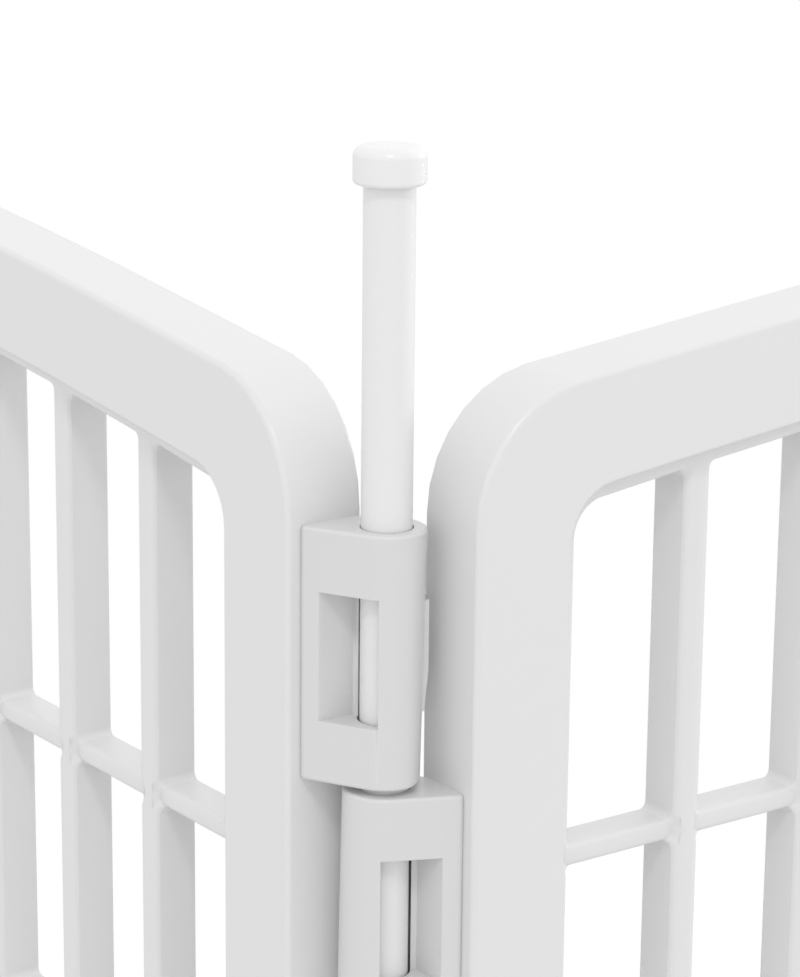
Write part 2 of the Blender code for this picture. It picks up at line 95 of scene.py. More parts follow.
# the sections of slats, crossbars and rims: half widths at these depths, front to back, in mm
SECTION_DEPTHS = (0.0, 0.15, 0.5, 1.1, 4.0, 11.2, 11.9, 12.2)
SLAT_SECTION = (2.1, 3.15, 3.7, 4.05, 4.5, 4.35, 4.0, 3.3)
BAR_SECTION = (1.2, 2.0, 2.5, 2.75, 3.15, 3.05, 2.7, 2.0)
RIM_SECTION = (2.5, 3.5, 4.1, 4.4, 4.8, 4.7, 4.4, 3.7)
SECTION_DEPTH = SECTION_DEPTHS[-1] / 1000
PARTING = 3                 # which entry of a section is the mould's parting line
BAR_SINK = 0.0018           # crossbars lie this far behind the slats' fronts
WINDOW_RADIUS = 0.0022
CORNER_STEPS = 7            # facets of a frame's corner
WINDOW_STEPS = 4            # facets of a window's corner
OUTER_ROUND = 0.0015        # edge of the frame's outer face
BACK_ROUND = 0.0012         # edge of its inner face
MERGE = 0.000004


# ---------------------------------------------------------------- materials
CLOUD_SCALE = 9.0           # noise cells per metre: mottling
GLOSS_SCALE = 60.0          # noise cells per metre: uneven gloss
NOISE_LOW, NOISE_HIGH = 0.2, 0.8    # the part of a noise's range that is used


def noise(nodes, links, coordinate, scale, detail, roughness=0.5):
    """A noise texture on object coordinates."""
    node = nodes.new("ShaderNodeTexNoise")
    node.inputs["Scale"].default_value = scale
    node.inputs["Detail"].default_value = detail
    node.inputs["Roughness"].default_value = roughness
    links.new(coordinate, node.inputs["Vector"])
    return node


def ramp(nodes, links, value, low, high):
    """Map a noise's value to a range."""
    node = nodes.new("ShaderNodeMapRange")
    node.inputs["From Min"].default_value = NOISE_LOW
    node.inputs["From Max"].default_value = NOISE_HIGH
    node.inputs["To Min"].default_value = low
    node.inputs["To Max"].default_value = high
    links.new(value, node.inputs["Value"])
    return node.outputs["Result"]


def plastic(name, grey, roughness, grain, grain_scale, mottle, uneven):
    """Moulded plastic: faint mottling, uneven gloss and a fine grain in the surface."""
    made = bpy.data.materials.new(name)
    made.use_nodes = True
    nodes = made.node_tree.nodes
    links = made.node_tree.links
    shader = nodes["Principled BSDF"]
    shader.inputs["IOR"].default_value = 1.49
    shader.inputs["Specular IOR Level"].default_value = 0.42
    place = nodes.new("ShaderNodeTexCoord").outputs["Object"]
    cloud = noise(nodes, links, place, CLOUD_SCALE, 3.0)
    mix = nodes.new("ShaderNodeMix")
    mix.data_type = "RGBA"
    mix.inputs["A"].default_value = (*[c * (1 - mottle) for c in grey], 1.0)
    mix.inputs["B"].default_value = (*[c * (1 + mottle) for c in grey], 1.0)
    links.new(ramp(nodes, links, cloud.outputs["Fac"], 0.0, 1.0), mix.inputs["Factor"])
    links.new(mix.outputs["Result"], shader.inputs["Base Color"])
    gloss = noise(nodes, links, place, GLOSS_SCALE, 4.0)
    spread = ramp(nodes, links, gloss.outputs["Fac"], roughness - uneven, roughness + uneven)
    links.new(spread, shader.inputs["Roughness"])
    fine = noise(nodes, links, place, grain_scale, 2.0, 0.6)
    bump = nodes.new("ShaderNodeBump")
    bump.inputs["Strength"].default_value = grain
    bump.inputs["Distance"].default_value = 0.0002
    links.new(fine.outputs["Fac"], bump.inputs["Height"])
    links.new(bump.outputs["Normal"], shader.inputs["Normal"])
    return made


# colour, roughness, strength and scale of the grain, mottling, unevenness of the gloss
WHITE = plastic("white_moulding", (0.716, 0.716, 0.716), 0.30, 0.06, 2600.0, 0.004, 0.02)
# the knuckles: the panels' white moulding painted a darker grey, as painted shade on the knuckles
SHADED_HINGE = plastic("hinge_moulding", (0.656, 0.656, 0.656), 0.30, 0.06, 2600.0, 0.004, 0.02)
TUBE = plastic("rod_tube", (0.762, 0.762, 0.762), 0.28, 0.015, 1500.0, 0.001, 0.005)
CAP = plastic("cap_moulding", (0.778, 0.778, 0.778), 0.24, 0.03, 2000.0, 0.002, 0.01)
RUBBER = plastic("foot_rubber", (0.055, 0.055, 0.058), 0.72, 0.25, 1800.0, 0.10, 0.05)


# ---------------------------------------------------------------- small tools
def arc(cx, cy, radius, start, end, steps):
    """Points along an arc; the angles are in degrees."""
    points = []
    for i in range(steps + 1):
        angle = math.radians(start + (end - start) * i / steps)
        points.append((cx + radius * math.cos(angle), cy + radius * math.sin(angle)))
    return points


def finish_mesh(bm, name, mat, matrix, body, nodes=(), sharp=None):
    """Turn bm into a placed, smooth-shaded piece that rides on a body and stands for its CAD nodes."""
    bmesh.ops.remove_doubles(bm, verts=bm.verts, dist=MERGE)
    bmesh.ops.recalc_face_normals(bm, faces=bm.faces)
    bmesh.ops.transform(bm, matrix=matrix, verts=bm.verts)
    mesh = bpy.data.meshes.new(name)
    bm.to_mesh(mesh)
    bm.free()
    mesh.materials.append(mat)
    mesh.shade_smooth()
    if sharp is not None:
        mesh.set_sharp_from_angle(angle=math.radians(sharp))
    piece = bpy.data.objects.new(name, mesh)
    bpy.context.scene.collection.objects.link(piece)
    # large flat faces stay flat beside their rounded edges
    flats = piece.modifiers.new("normals", "WEIGHTED_NORMAL")
    flats.keep_sharp = True
    flats.weight = 60
    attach(piece, body)
    if nodes:
        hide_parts(*nodes)


def loft(bm, loops):
    """Faces between successive closed loops of equally many points; returns the vertex rings."""
    rings = [[bm.verts.new(p) for p in loop] for loop in loops]
    for first, second in zip(rings, rings[1:]):
        for i in range(len(first)):
            j = (i + 1) % len(first)
            bm.faces.new((first[i], first[j], second[j], second[i]))
    return rings


def capped_loft(bm, loops):
    """A loft that is closed at both ends."""
    rings = loft(bm, loops)
    bm.faces.new(rings[0])
    bm.faces.new(rings[-1])


def turned(bm, x, y, profile, segments=96):
    """A solid of revolution from (radius, z) points; a radius of zero is a pole."""
    rings = []
    for radius, z in profile:
        if radius < 1e-6:
            rings.append([bm.verts.new((x, y, z))])
            continue
        ring = []
        for i in range(segments):
            a = 2 * math.pi * i / segments
            ring.append(bm.verts.new((x + radius * math.cos(a), y + radius * math.sin(a), z)))
        rings.append(ring)
    for first, second in zip(rings, rings[1:]):
        for i in range(segments):
            j = (i + 1) % segments
            if len(first) == 1:
                bm.faces.new((first[0], second[i], second[j]))
            elif len(second) == 1:
                bm.faces.new((first[i], first[j], second[0]))
            else:
                bm.faces.new((first[i], first[j], second[j], second[i]))


# ---------------------------------------------------------------- a grille in a frame
CORNERS = ("BL", "TL", "TR", "BR")      # bottom left, top left, top right, bottom right


class Grille:
    """A frame ring with slats and crossbars, in its own (x, z) plane; -y is the outer face.

    Every loop of the ring has a point beside each slat and each crossbar, so that loops and windows
    share their points and the whole moulding is one closed surface.
    """

    def __init__(self, left, right, bottom, top, slats, bars, shape):
        self.left = left
        self.right = right
        self.bottom = bottom
        self.top = top                   # height of the top edge at x
        self.slats = slats               # x of the slats, rising
        self.bars = bars                 # z of the crossbars, rising
        self.shape = shape
        self.bm = bmesh.new()
        self.creases = []

    def lean(self, x):
        """Slope of the top edge at x, in degrees."""
        return math.degrees(math.atan((self.top(x + 0.001) - self.top(x - 0.001)) / 0.002))

    def high_centre(self, x, inset, radius, lean):
        """Height of the centre of an upper corner's arc."""
        return self.top(x) - inset - radius * math.cos(math.radians(lean))

    def loop(self, inset, y, top_radius, low_radius):
        """The named parts of one loop: four arcs, and the points beside slats and crossbars."""
        left = self.left + inset
        right = self.right - inset
        low = self.bottom + inset
        x0 = left + top_radius
        x1 = right - top_radius
        lean_left = self.lean(x0)
        lean_right = self.lean(x1)
        z0 = self.high_centre(x0, inset, top_radius, lean_left)
        z1 = self.high_centre(x1, inset, top_radius, lean_right)
        z_low = low + low_radius
        parts = {
            "BL": arc(left + low_radius, z_low, low_radius, 270, 180, CORNER_STEPS),
            "L": [(left, z) for z in self.bars],
            "TL": arc(x0, z0, top_radius, 180, 90 + lean_left, CORNER_STEPS),
            "T": [(x, self.top(x) - inset) for x in self.slats],
            "TR": arc(x1, z1, top_radius, 90 + lean_right, 0, CORNER_STEPS),
            "R": [(right, z) for z in reversed(self.bars)],
            "BR": arc(right - low_radius, z_low, low_radius, 360, 270, CORNER_STEPS),
            "B": [(x, low) for x in reversed(self.slats)],
        }
        return {name: [(x, y, z) for x, z in points] for name, points in parts.items()}

    def ring(self):
        """The frame, from the windows' front edge round the outside to their back edge."""
        s = self.shape
        front, back, rim, edge, far = s["front"], s["back"], s["rim"], s["edge"], s["back_edge"]
        # (inset, depth) all round the section
        path = [(rim, front + s["recess"]), (rim - 0.0002, front + s["recess"] * 0.82)]
        path += [(rim - 0.0003, front + 0.0009), (rim - 0.0006, front + 0.0003), (rim - 0.0012, front)]
        path += [(edge - dx, front + edge - dy) for dx, dy in arc(0, 0, edge, 90, 0, 5)]
        path += [(far - dx, back - far + dy) for dx, dy in arc(0, 0, far, 0, 90, 5)]
        path += [(rim - 0.0012, back), (rim - 0.0004, back - 0.0003), (rim, back - 0.0011)]
        path += [(rim, self.back_plane())]
        loops = []
        for inset, y in path:
            inside = inset > rim / 2
            top_radius = s["inner"] + rim - inset if inside else s["outer_top"] - inset
            low_radius = s["inner"] + rim - inset if inside else s["outer_low"] - inset
            parts = self.loop(inset, y, top_radius, low_radius).values()
            loops.append([point for part in parts for point in part])
        loft(self.bm, loops)

    def front_plane(self):
        """Depth of the slats' fronts."""
        return self.shape["front"] + self.shape["recess"]

    def back_plane(self):
        """Depth of the slats' backs."""
        return self.front_plane() + SECTION_DEPTH

    def node(self, i, j):
        """Where slat line i crosses crossbar line j, in (x, z); the outermost lines are the rim's."""
        rim = self.shape["rim"]
        x = [self.left + rim, *self.slats, self.right - rim][i]
        z = [self.bottom + rim, *self.bars, self.top(x) - rim][j]
        return x, z

    def window(self, i, j):
        """One window between slat lines i, i+1 and crossbar lines j, j+1."""
        inner = self.shape["inner"]
        rim = self.shape["rim"]
        low = [self.node(i, j), self.node(i + 1, j)]
        high = [self.node(i, j + 1), self.node(i + 1, j + 1)]
        on_left, on_right = i == 0, i == len(self.slats)
        on_low, on_high = j == 0, j == len(self.bars)
        named = self.loop(rim, 0.0, inner, inner)
        frame_arcs = {}
        for corner in CORNERS:
            beside = on_left if corner[1] == "L" else on_right
            if beside and (on_low if corner[0] == "B" else on_high):
                frame_arcs[corner] = [(x, z) for x, _, z in named[corner]]
        loops = []
        for widths in zip(SECTION_DEPTHS, SLAT_SECTION, BAR_SECTION, RIM_SECTION):
            depth, slat, bar, edge = (v / 1000 for v in widths)
            left = low[0][0] + (edge if on_left else slat)
            right = low[1][0] - (edge if on_right else slat)
            bottom = low[0][1] + (edge if on_low else bar)
            over = edge if on_high else bar
            rise = (high[1][1] - high[0][1]) / (high[1][0] - high[0][0])

            def top_at(x):
                if on_high:
                    return self.top(x) - rim - over
                return high[0][1] + rise * (x - high[0][0]) - over

            loop = []
            for corner, start in zip(CORNERS, (270, 180, 90, 360)):
                big = corner in frame_arcs
                r = inner - edge if big else WINDOW_RADIUS
                steps = CORNER_STEPS if big else WINDOW_STEPS
                cx = left + r if corner[1] == "L" else right - r
                cz = bottom + r if corner[0] == "B" else top_at(cx) - r
                points = arc(cx, cz, r, start, start - 90, steps)
                sunk_low = corner[0] == "B" and not on_low
                sunk_high = corner[0] == "T" and not on_high
                for n, (x, z) in enumerate(points):
                    share = n / steps
                    # the arcs run level to upright at BL and TR, upright to level at TL and BR
                    level = 1 - share if corner in ("BL", "TR") else share
                    sink = BAR_SINK * level if (sunk_low or sunk_high) else 0.0
                    y = self.front_plane() + sink + depth * (SECTION_DEPTH - sink) / SECTION_DEPTH
                    loop.append((x, y, z))
            loops.append(loop)
        rings = loft(self.bm, loops)
        parting = rings[PARTING]
        self.creases += [(a, b) for a, b in zip(parting, parting[1:] + parting[:1])]
        sinks = {"B": 0.0 if on_low else BAR_SINK, "T": 0.0 if on_high else BAR_SINK}
        spots = {"BL": low[0], "TL": high[0], "TR": high[1], "BR": low[1]}
        self.face_band(rings[0], spots, frame_arcs, self.front_plane(), sinks)
        self.face_band(rings[-1], spots, frame_arcs, self.back_plane(), {"B": 0.0, "T": 0.0})

    def face_band(self, ring, spots, frame_arcs, y, sinks):
        """The flat band between a window and the middle lines of its slats and crossbars."""
        bm = self.bm
        ends = {}
        start = 0
        for corner in CORNERS:
            count = (CORNER_STEPS if corner in frame_arcs else WINDOW_STEPS) + 1
            points = ring[start:start + count]
            start += count
            if corner in frame_arcs:
                outer = [bm.verts.new((x, y, z)) for x, z in frame_arcs[corner]]
                for a, b, c, d in zip(outer, outer[1:], points[1:], points):
                    bm.faces.new((a, b, c, d))
                ends[corner] = (outer[0], outer[-1], points[0], points[-1])
                continue
            x, z = spots[corner]
            hub = bm.verts.new((x, y, z))
            level_first = corner in ("BL", "TR")
            sink = sinks[corner[0]]
            if sink == 0.0:
                for a, b in zip(points, points[1:]):
                    bm.faces.new((hub, a, b))
                ends[corner] = (hub, hub, points[0], points[-1])
                continue
            side = 1 if corner[1] == "L" else -1
            level_end = points[0] if level_first else points[-1]
            upright_end = points[-1] if level_first else points[0]
            shoulder = bm.verts.new((x + side * SLAT_SECTION[0] / 1000, y, z))
            foot = bm.verts.new((level_end.co.x, y + sink, z))
            for a, b in zip(points, points[1:]):
                bm.faces.new((shoulder, a, b))
            bm.faces.new((hub, shoulder, upright_end))
            bm.faces.new((shoulder, foot, level_end))
            hubs = (foot, hub) if level_first else (hub, foot)
            ends[corner] = (*hubs, points[0], points[-1])
        for this, following in zip(CORNERS, CORNERS[1:] + CORNERS[:1]):
            bm.faces.new((ends[this][1], ends[following][0], ends[following][2], ends[this][3]))

    def wall(self, first, second):
        """A plain wall from front to back between two points of the slat and crossbar lines."""
        front, back = self.front_plane(), self.back_plane()
        corners = [(first[0], front, first[1]), (second[0], front, second[1])]
        corners += [(second[0], back, second[1]), (first[0], back, first[1])]
        self.bm.faces.new([self.bm.verts.new(p) for p in corners])

    def build(self, skipped=()):
        """All windows except the skipped ones, which are left out as one opening."""
        self.ring()
        for i in range(len(self.slats) + 1):
            for j in range(len(self.bars) + 1):
                if (i, j) in skipped:
                    self.opening_walls(i, j, skipped)
                else:
                    self.window(i, j)
        for ends in self.creases:
            self.bm.edges.get(ends).smooth = False
        return self.bm

    def opening_walls(self, i, j, skipped):
        """Close the moulding's surface around an opening."""
        if (i - 1, j) not in skipped:
            self.wall(self.node(i, j), self.node(i, j + 1))
        if (i + 1, j) not in skipped:
            self.wall(self.node(i + 1, j), self.node(i + 1, j + 1))
        if (i, j - 1) not in skipped:
            self.wall(self.node(i, j), self.node(i + 1, j))
        if (i, j + 1) not in skipped:
            self.sunk_wall(i, j + 1)

    def sunk_wall(self, i, j):
        """The wall above an opening, which meets the sunk face of a crossbar."""
        x0, z = self.node(i, j)
        x1 = self.node(i + 1, j)[0]
        front, back = self.front_plane(), self.back_plane()
        flat = SLAT_SECTION[0] / 1000
        far = flat + WINDOW_RADIUS
        spots = [(x0, front), (x0 + flat, front), (x0 + far, front + BAR_SINK)]
        spots += [(x1 - far, front + BAR_SINK), (x1 - flat, front), (x1, front), (x1, back), (x0, back)]
        self.bm.faces.new([self.bm.verts.new((x, y, z)) for x, y in spots])


def panel_top(x):
    """Height of a panel's arched top at x."""
    half = SPAN / 2 - END_GAP
    drop = math.sqrt(ARCH_RADIUS ** 2 - (x - SPAN / 2) ** 2) - math.sqrt(ARCH_RADIUS ** 2 - half ** 2)
    return END_HEIGHT + drop


PANEL_SHAPE = {
    "front": -FACE_OUT, "back": FACE_IN, "rim": RIM, "recess": RECESS,
    "edge": OUTER_ROUND, "back_edge": BACK_ROUND,
    "inner": INNER_RADIUS, "outer_top": CORNER_RADIUS, "outer_low": BASE_RADIUS,
}


def panel_grille():
    """A panel's frame and grille, ready to build."""
    slats = [FIRST_SLAT + i * SLAT_PITCH for i in range(SLAT_COUNT)]
    bars = sorted(END_HEIGHT - FIRST_BAR_DROP - j * BAR_STEP for j in range(BAR_ROWS))
    return Grille(END_GAP, SPAN - END_GAP, PANEL_BASE, panel_top, slats, bars, PANEL_SHAPE)


# ---------------------------------------------------------------- hinge knuckles
WINDOW_MARGIN = 0.0157      # knuckle end to its window
BARREL_STEPS = 56
BARREL_HOLD = 60.0          # degrees of a barrel that keep its front radius
BARREL_EASE = 42.0          # degrees in which it changes to the radius behind
# a barrel's radius in front, and behind at its top and its foot, of upper and of lower knuckles
BARREL_FRONT = {True: BARREL + 0.0001, False: BARREL + 0.0009}
BARREL_TOP = {True: BARREL + 0.0004, False: BARREL + 0.0009}
BARREL_FOOT = {True: BARREL - 0.0008, False: BARREL + 0.0019}
ARM_EXTRA = {True: 0.0004, False: 0.0}
ARM_ROUND = 0.0013          # the arm's outer corner
KNUCKLE_ROUND = 0.0009      # a knuckle's upper and lower edges
KNUCKLE_BEVEL = 0.0004      # the edges of its bore and window
KNUCKLE_ROOT = 0.004        # how deep it stands in the panel's end
# radius and height of the pad on an upper knuckle's rear side
PAD = [(BARREL + 0.0010, -0.0180), (BARREL + 0.0010, -0.0355), (BARREL + 0.0001, -0.0458)]
# plan of a knuckle's window
POCKET = [
    (0.0080, -0.0250), (0.0080, -0.0166), (0.0076, -0.0160), (0.0073, -0.0150), (0.0071, -0.0136),
    (0.0066, -0.0049), (0.0010, -0.0020), (-0.0052, -0.0020), (-0.0066, -0.0066), (-0.0066, -0.0250),
]


def barrel_arc(front, rear, first, last):
    """An arc about the hinge axis whose radius eases from front to rear once it is past the window."""
    points = []
    for i in range(BARREL_STEPS + 1):
        angle = first + (last - first) * i / BARREL_STEPS
        part = min(1.0, max(0.0, abs(angle - first) - BARREL_HOLD) / BARREL_EASE)
        radius = front + (rear - front) * part * part * (3 - 2 * part)
        turn = math.radians(angle)
        points.append((radius * math.cos(turn), radius * math.sin(turn)))
    return points


def knuckle_plan(barrel, rear, reach, shrink):
    """Plan of a knuckle at a left-hand hinge: a barrel whose arm ends in a rounded corner."""
    corner = (END_GAP - 0.0009, -(reach - ARM_ROUND))
    tilt = math.degrees(math.atan2(corner[1], corner[0]))
    spread = math.degrees(math.acos((barrel - ARM_ROUND) / math.hypot(*corner)))
    normal = tilt - spread                  # direction that the arm's flat front faces
    inner = FACE_IN - 0.0015 - shrink
    root = END_GAP + KNUCKLE_ROOT
    points = [(root, inner), (root, corner[1])]
    points += arc(corner[0], corner[1], ARM_ROUND - shrink * 0.9, -20, normal, 8)
    back = math.degrees(math.acos(rear / math.hypot(END_GAP, inner)) + math.atan2(inner, END_GAP))
    points += barrel_arc(barrel - shrink, rear - shrink, normal, back - 360)
    return points + [(END_GAP, inner)]


def boolean(target, tool, operation):
    """Apply one exact boolean and remove the tool."""
    modifier = target.modifiers.new(operation, "BOOLEAN")
    modifier.operation = operation
    modifier.solver = "EXACT"
    modifier.object = tool
    graph = bpy.context.evaluated_depsgraph_get()
    mesh = bpy.data.meshes.new_from_object(target.evaluated_get(graph))
    target.modifiers.clear()
    target.data = mesh
    bpy.data.objects.remove(tool, do_unlink=True)


def solid(levels):
    """A capped loft through (outline, z) levels, as an object for booleans."""
    bm = bmesh.new()
    capped_loft(bm, [[(x, y, z) for x, y in outline] for outline, z in levels])
    bmesh.ops.recalc_face_normals(bm, faces=bm.faces)
    mesh = bpy.data.meshes.new("solid")
    bm.to_mesh(mesh)
    bm.free()
    made = bpy.data.objects.new("solid", mesh)
    bpy.context.scene.collection.objects.link(made)
    return made


def cut(body, outline, low, high):
    """Take an upright prism out of a body."""
    boolean(body, solid([(outline, low), (outline, high)]), "DIFFERENCE")


def round_hole(radius, first):
    """Plan of a round hole; first is the angle of its first point."""
    return arc(0, 0, radius, first, first + 354.375, 63)


def knuckle_mesh(upper):
    """One knuckle from z = 0 down, at a left-hand hinge, with its bore, window and rear pad."""
    foot = -KNUCKLE_HEIGHT
    soft = KNUCKLE_ROUND
    reach = ARM_REACH + ARM_EXTRA[upper]
    levels = [(soft - dx, -soft + dy) for dx, dy in arc(0, 0, soft, 90, 0, 4)]
    levels += [(soft - dx, foot + soft - dy) for dx, dy in arc(0, 0, soft, 0, 90, 4)]
    plans = []
    for shrink, z in levels:
        rear = BARREL_TOP[upper] + (BARREL_FOOT[upper] - BARREL_TOP[upper]) * z / foot
        plans.append((knuckle_plan(BARREL_FRONT[upper], rear, reach, shrink), z))
    body = solid(plans)
    if upper:
        pad = solid([(arc(0, 0, radius, 85, 134, 12) + [(0.0, 0.0)], z) for radius, z in PAD])
        boolean(body, pad, "UNION")
    window_low, window_high = foot + WINDOW_MARGIN, -WINDOW_MARGIN
    cut(body, round_hole(BORE_RADIUS, 3), foot - 0.01, 0.01)
    cut(body, round_hole(BORE_RADIUS + 0.0003, 2), window_low - 0.004, window_high + 0.004)
    cut(body, POCKET, window_low, window_high)
    edges = body.modifiers.new("edges", "BEVEL")
    edges.width = KNUCKLE_BEVEL
    edges.segments = 2
    edges.limit_method = "ANGLE"
    edges.angle_limit = math.radians(40)
    graph = bpy.context.evaluated_depsgraph_get()
    mesh = bpy.data.meshes.new_from_object(body.evaluated_get(graph))
    bpy.data.objects.remove(body, do_unlink=True)
    return mesh


def add_knuckles(side, matrix):
    """All four knuckles of a panel."""
    for upper in (True, False):
        mesh = KNUCKLES[upper]
        hinge_x = SPAN if upper else 0.0
        drop = 0.0 if upper else KNUCKLE_HEIGHT + KNUCKLE_GAP
        for level, top in (("high", TOP_KNUCKLE - drop), ("low", LOW_KNUCKLE_TOP - drop)):
            bm = bmesh.new()
            bm.from_mesh(mesh)
            if upper:
                bmesh.ops.transform(bm, matrix=Matrix.Diagonal((-1, 1, 1, 1)), verts=bm.verts)
                bmesh.ops.reverse_faces(bm, faces=bm.faces)
            bmesh.ops.transform(bm, matrix=Matrix.Translation((hinge_x, 0, top)), verts=bm.verts)
            name = "%s_knuckle_%s_%s" % (side, "right" if upper else "left", level)
            finish_mesh(bm, name, SHADED_HINGE, matrix, side, sharp=50)


KNUCKLES = {True: knuckle_mesh(True), False: knuckle_mesh(False)}


# ---------------------------------------------------------------- panels
SIDES = {"front": (4, 0), "right": (1, 90), "back": (2, 180), "left": (3, 270)}
DOOR_COLUMNS = range(DOOR_FIRST_SLAT + 1, DOOR_LAST_SLAT + 1)
DOOR_CELLS = {(i, j) for i in DOOR_COLUMNS for j in range(BAR_ROWS)}
DOOR_LEFT = FIRST_SLAT + DOOR_FIRST_SLAT * SLAT_PITCH + JAMB / 2
DOOR_RIGHT = FIRST_SLAT + DOOR_LAST_SLAT * SLAT_PITCH - JAMB / 2
DOOR_TOP = END_HEIGHT - FIRST_BAR_DROP - JAMB / 2
JAMB_ROUND = 0.0022
JAMB_INSET = 0.0002         # the jambs stand this far inside the panel's faces
JAMB_ROOT = 0.003           # how deep they stand in the bottom rail


def side_matrix(side):
    """From a panel's own frame to the world."""
    corner, turn = SIDES[side]
    x, y = CORNER[corner][0], CORNER[corner][1]
    return Matrix.Translation((x, y, 0)) @ Matrix.Rotation(math.radians(turn), 4, "Z")


def rounded_rectangle(low, high, radius, steps=4):
    """Corners of a rounded rectangle in two dimensions."""
    points = arc(high[0] - radius, high[1] - radius, radius, 90, 0, steps)
    points += arc(high[0] - radius, low[1] + radius, radius, 0, -90, steps)
    points += arc(low[0] + radius, low[1] + radius, radius, 270, 180, steps)
    points += arc(low[0] + radius, high[1] - radius, radius, 180, 90, steps)
    return points


def door_surround(matrix):
    """The jambs and the head of the doorway: one rounded section swept round three sides."""
    section = rounded_rectangle((0.0, -FACE_OUT + JAMB_INSET), (JAMB, FACE_IN - JAMB_INSET), JAMB_ROUND)
    low = PANEL_BASE + RIM - JAMB_ROOT
    loops = [
        [(DOOR_LEFT - s, y, low) for s, y in section],
        [(DOOR_LEFT - s, y, DOOR_TOP + s) for s, y in section],
        [(DOOR_RIGHT + s, y, DOOR_TOP + s) for s, y in section],
        [(DOOR_RIGHT + s, y, low) for s, y in section],
    ]
    bm = bmesh.new()
    capped_loft(bm, loops)
    finish_mesh(bm, "door_surround", WHITE, matrix, "front", sharp=35)


def add_panels():
    """The four panels."""
    for side in SIDES:
        matrix = side_matrix(side)
        if side == "front":
            skipped = DOOR_CELLS
            nodes = ["front_panel_left", "front_panel_right", "front_panel_head", "front_panel_sill"]
            door_surround(matrix)
        else:
            skipped = ()
            nodes = [side + "_panel"]
        bm = panel_grille().build(skipped)
        finish_mesh(bm, side + "_grille_panel", WHITE, matrix, side, nodes)
        add_knuckles(side, matrix)


# ---------------------------------------------------------------- rods, caps and feet
TUBE_WALL = 0.0017
CAP_SLACK = 0.0003          # between a rod and its cap's socket
CAP_CROWN = 0.0026          # a cap's upper edge
CAP_HEM = 0.0012            # its lower edge
FOOT_GROOVE = 0.0006


def add_rods():
    """Each rod is a smooth open tube with eased ends, under a rounded push-on cap."""
    for number in (1, 2, 3, 4):
        low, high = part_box("rod_%d" % number)
        cap_low, cap_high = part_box("cap_%d" % number)
        x, y = (low[0] + high[0]) / 2, (low[1] + high[1]) / 2
        radius = (high[0] - low[0]) / 2
        bore = radius - TUBE_WALL
        ease = 0.0005
        profile = [(bore, high[2]), (radius, high[2]), (radius, cap_low[2] + 0.001)]
        profile += [(radius, low[2] + ease), (radius - ease, low[2]), (bore + ease, low[2])]
        profile += [(bore, low[2] + ease), (bore, high[2])]
        bm = bmesh.new()
        turned(bm, x, y, profile)
        rod = "rod_%d" % number
        finish_mesh(bm, "rod_tube_%d" % number, TUBE, Matrix(), rod, [rod], sharp=35)
        wide = (cap_high[0] - cap_low[0]) / 2
        top = cap_high[2]
        socket = radius + CAP_SLACK
        profile = [(0.0, top), (wide - CAP_CROWN - 0.002, top - 0.00005)]
        profile += arc(wide - CAP_CROWN, top - CAP_CROWN, CAP_CROWN, 90, 4, 9)
        profile += arc(wide - CAP_HEM, cap_low[2] + CAP_HEM, CAP_HEM, -4, -90, 6)
        profile += [(socket, cap_low[2]), (socket, high[2] + CAP_SLACK), (0.0, high[2] + CAP_SLACK)]
        bm = bmesh.new()
        turned(bm, x, y, profile)
        finish_mesh(bm, "rod_cap_%d" % number, CAP, Matrix(), rod, ["cap_%d" % number], sharp=45)


def stadium(length, width, shrink, steps=12):
    """Plan of a foot, moved inwards by shrink."""
    half = length / 2 - width / 2
    radius = width / 2 - shrink
    return arc(half, 0, radius, -90, 90, steps) + arc(-half, 0, radius, 90, 270, steps)


def add_feet():
    """Rubber feet with an eased tread edge and a shallow groove round the side."""
    for side in SIDES:
        for place in ("a", "b"):
            name = "%s_foot_%s" % (side, place)
            low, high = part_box(name)
            centre = (Vector(low) + Vector(high)) / 2
            size = [high[i] - low[i] for i in range(3)]
            length, width = max(size[:2]), min(size[:2])
            tall = size[2]
            # (inset, height)
            levels = [(0.0012, 0.0), (0.0004, 0.0003), (0.0, 0.0011)]
            levels += [(0.0, tall * 0.45), (FOOT_GROOVE, tall * 0.52)]
            levels += [(FOOT_GROOVE, tall * 0.66), (0.0, tall * 0.73)]
            levels += [(0.0, tall - 0.0004), (0.0004, tall)]
            loops = []
            for shrink, z in levels:
                loops.append([(x, y, low[2] + z) for x, y in stadium(length, width, shrink)])
            bm = bmesh.new()
            capped_loft(bm, loops)
            turn = Matrix.Rotation(math.radians(SIDES[side][1]), 4, "Z")
            place_at = Matrix.Translation((centre.x, centre.y, 0)) @ turn
            finish_mesh(bm, name + "_pad", RUBBER, place_at, side, [name], sharp=40)


# ---------------------------------------------------------------- the door
DOOR_SHAPE = {
    "rim": 0.018, "recess": 0.0022, "edge": 0.0022, "back_edge": 0.0015,
    "inner": 0.009, "outer_top": 0.010, "outer_low": 0.010,
}
CHANNEL_SLACK = 0.0003      # between a bolt and its guide or keeper
BLOCK_ROUND = 0.0020        # long edges of a guide or keeper
BOLT_ROUND = 0.0006         # long edges of a bolt
KNOB_ROUND = 0.0012         # edge of a thumb knob


